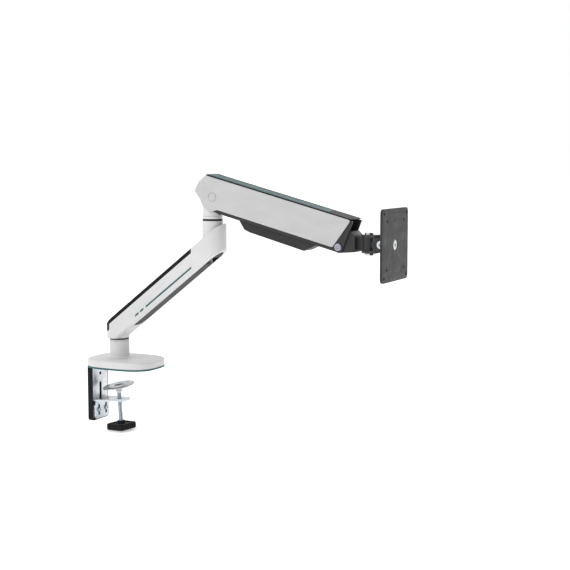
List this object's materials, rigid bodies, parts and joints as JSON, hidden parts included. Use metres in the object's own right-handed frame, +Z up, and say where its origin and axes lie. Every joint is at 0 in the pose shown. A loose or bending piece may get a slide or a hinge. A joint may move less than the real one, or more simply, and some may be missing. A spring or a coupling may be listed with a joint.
{
  "type": "monitor arm",
  "caption": "Desk-clamped monitor arm with a fixed-length swivelling lower beam, a spring-balanced upper arm that lifts, and a head that swivels, tilts and rotates behind a square plate.",
  "frame": {"origin": "on the column's axis, on the face that rests on the desk", "axes": "+X forwards over the desk towards the display plate, +Z up the column"},
  "size_m": [0.5712, 0.115, 0.4563],
  "materials": {
    "white_paint": "satin",
    "white_plastic": "satin",
    "black_plastic": "satin",
    "charcoal_plastic": "matte",
    "grey_plastic": "matte",
    "teal_plastic": "gloss",
    "dark_paint": "matte",
    "zinc_steel": "zinc plated",
    "plain_steel": "satin",
    "pin_metal": "satin",
    "nylon": "matte",
    "rubber": "matte"
  },
  "bodies": {
    "base": {"base_cover": "white_paint", "base_accent_ring": "teal_plastic", "base_pad": "rubber", "base_plate": "plain_steel", "column_post": "plain_steel", "column_sleeve": "white_paint", "column_collar": "white_paint", "column_friction_ring": "rubber", "column_washer": "zinc_steel", "column_bolt": "zinc_steel", "clamp_plate": "zinc_steel", "clamp_plate_cover": "black_plastic", "clamp_jaw": "zinc_steel", "jaw_screw_1": "zinc_steel", "jaw_screw_2": "zinc_steel", "jaw_nut": "zinc_steel"},
    "screw_end": {"press_socket": "plain_steel"},
    "clamp_screw": {"clamp_screw": "zinc_steel", "clamp_knob": "black_plastic"},
    "press_plate": {"press_plate": "zinc_steel"},
    "lower_arm": {"lower_arm_body": "white_paint", "lower_arm_lid": "black_plastic", "lower_arm_cable_cover": "grey_plastic", "lower_arm_inlay_left": "teal_plastic", "lower_arm_inlay_right": "teal_plastic", "swivel_bush": "nylon", "elbow_bush": "nylon", "elbow_ring": "rubber"},
    "knuckle": {"knuckle": "white_paint", "elbow_collar": "white_paint", "elbow_washer": "zinc_steel", "elbow_bolt": "zinc_steel", "link_pin_rear": "plain_steel", "spring_pin": "plain_steel"},
    "upper_arm": {"arm_frame": "dark_paint", "side_cover_left": "white_plastic", "side_cover_right": "white_plastic", "pivot_cap_left": "white_plastic", "pivot_cap_right": "white_plastic", "head_pin_cap_left": "pin_metal", "head_pin_cap_right": "pin_metal", "arm_top_cover": "black_plastic", "arm_top_inlay": "teal_plastic", "arm_rear_cover": "white_plastic", "arm_cable_cover": "charcoal_plastic", "main_pivot_pin": "plain_steel", "head_pin": "plain_steel", "spring": "plain_steel", "spring_seat": "plain_steel", "tension_screw": "zinc_steel"},
    "spring_carriage": {"spring_carriage": "plain_steel"},
    "parallel_link": {"parallel_link": "dark_paint"},
    "head_bracket": {"head_bracket": "dark_paint", "link_pin_front": "plain_steel"},
    "swivel_yoke": {"swivel_yoke": "dark_paint", "swivel_bolt": "zinc_steel", "tilt_bolt": "zinc_steel"},
    "tilt_block": {"tilt_block": "dark_paint", "rotation_bolt": "zinc_steel"},
    "vesa_plate": {"vesa_plate": "dark_paint"}
  },
  "joints": [
    {"name": "lower_arm_swivel", "type": "hinge", "parent": "base", "child": "lower_arm", "pos_m": [0, 0, 0.055], "axis": [0, 0, 1], "range_deg": [-90, 90]},
    {"name": "elbow_swivel", "type": "hinge", "parent": "lower_arm", "child": "knuckle", "pos_m": [0.19, 0, 0.26], "axis": [0, 0, 1], "range_deg": [-90, 90]},
    {"name": "arm_lift", "type": "hinge", "parent": "knuckle", "child": "upper_arm", "pos_m": [0.2013, 0, 0.3032], "axis": [0, -1, 0], "range_deg": [-27, 45]},
    {"name": "parallel_link_turn", "type": "hinge", "parent": "knuckle", "child": "parallel_link", "pos_m": [0.204, 0, 0.321], "axis": [0, -1, 0], "range_deg": [-27, 45]},
    {"name": "spring_carriage_slide", "type": "slide", "parent": "upper_arm", "child": "spring_carriage", "axis": [0.9664, 0, -0.2571], "range_m": [-0.0114, 0.0069], "deforming": ["spring"]},
    {"name": "head_level", "type": "hinge", "parent": "upper_arm", "child": "head_bracket", "pos_m": [0.4289, 0, 0.2264], "axis": [0, -1, 0], "range_deg": [-45, 27]},
    {"name": "head_swivel", "type": "hinge", "parent": "head_bracket", "child": "swivel_yoke", "pos_m": [0.474, 0, 0.232], "axis": [0, 0, 1], "range_deg": [-90, 90]},
    {"name": "head_tilt", "type": "hinge", "parent": "swivel_yoke", "child": "tilt_block", "pos_m": [0.5, 0, 0.232], "axis": [0, 1, 0], "range_deg": [-15, 35]},
    {"name": "head_rotate", "type": "hinge", "parent": "tilt_block", "child": "vesa_plate", "pos_m": [0.516, 0, 0.232], "axis": [1, 0, 0], "continuous": true},
    {"name": "clamp_slide", "type": "slide", "parent": "base", "child": "screw_end", "axis": [-0.061, 0, 0.9981], "range_m": [-0.0101, 0.0201]},
    {"name": "clamp_turn", "type": "hinge", "parent": "screw_end", "child": "clamp_screw", "pos_m": [-0.0015, 0, -0.05802], "axis": [-0.061, 0, 0.9981], "range_deg": [-2880, 5760]},
    {"name": "press_plate_tilt", "type": "hinge", "parent": "screw_end", "child": "press_plate", "pos_m": [-0.0027, 0, -0.03846], "axis": [0, 1, 0], "range_deg": [0, 16]}
  ],
  "couplings": [
    {"joint": "parallel_link_turn", "follows": "arm_lift", "ratio": 1},
    {"joint": "head_level", "follows": "arm_lift", "ratio": -1},
    {"joint": "spring_carriage_slide", "follows": "arm_lift", "m_per_rad": -0.01422},
    {"joint": "clamp_slide", "follows": "clamp_turn", "m_per_rad": 0.00019894}
  ]
}
